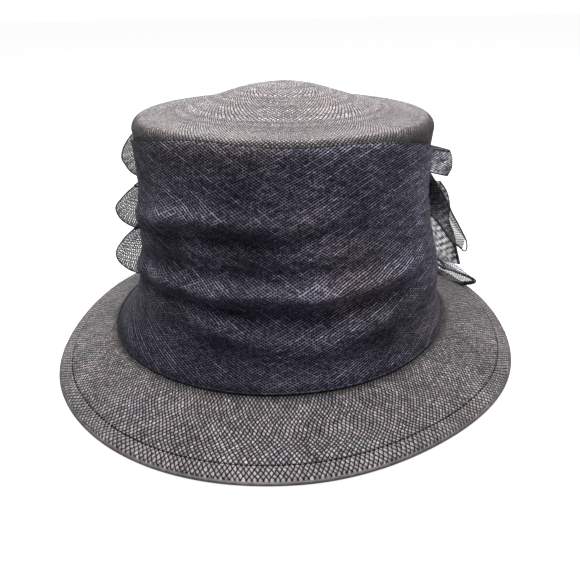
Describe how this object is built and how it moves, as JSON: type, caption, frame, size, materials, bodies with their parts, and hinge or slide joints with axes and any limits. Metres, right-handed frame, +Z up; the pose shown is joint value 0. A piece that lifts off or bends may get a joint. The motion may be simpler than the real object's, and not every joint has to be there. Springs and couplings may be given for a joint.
{
  "type": "brimmed straw cloche hat with a draped sinamay band and back loops",
  "caption": "Deep-crowned straw hat with a sloping brim, a folded open-weave swathe round the crown and standing loops at the back.",
  "frame": {"origin": "middle of the brim's outline, on the surface that the hat rests on", "axes": "+Z up through the crown; -Y towards the front of the hat; +Y towards the loops at the back; +X to the right of the picture"},
  "size_m": [0.2733, 0.3044, 0.151],
  "materials": {
    "straw": "plaited straw, dull",
    "sinamay": "open-weave sinamay, dull"
  },
  "bodies": {
    "root": {"crown": "straw", "brim": "straw", "drape": "sinamay", "knot": "sinamay", "loop_left_upper": "sinamay", "loop_left_middle": "sinamay", "loop_left_lower": "sinamay", "loop_right_upper": "sinamay", "loop_right_lower": "sinamay", "flap_right": "sinamay"}
  },
  "joints": []
}
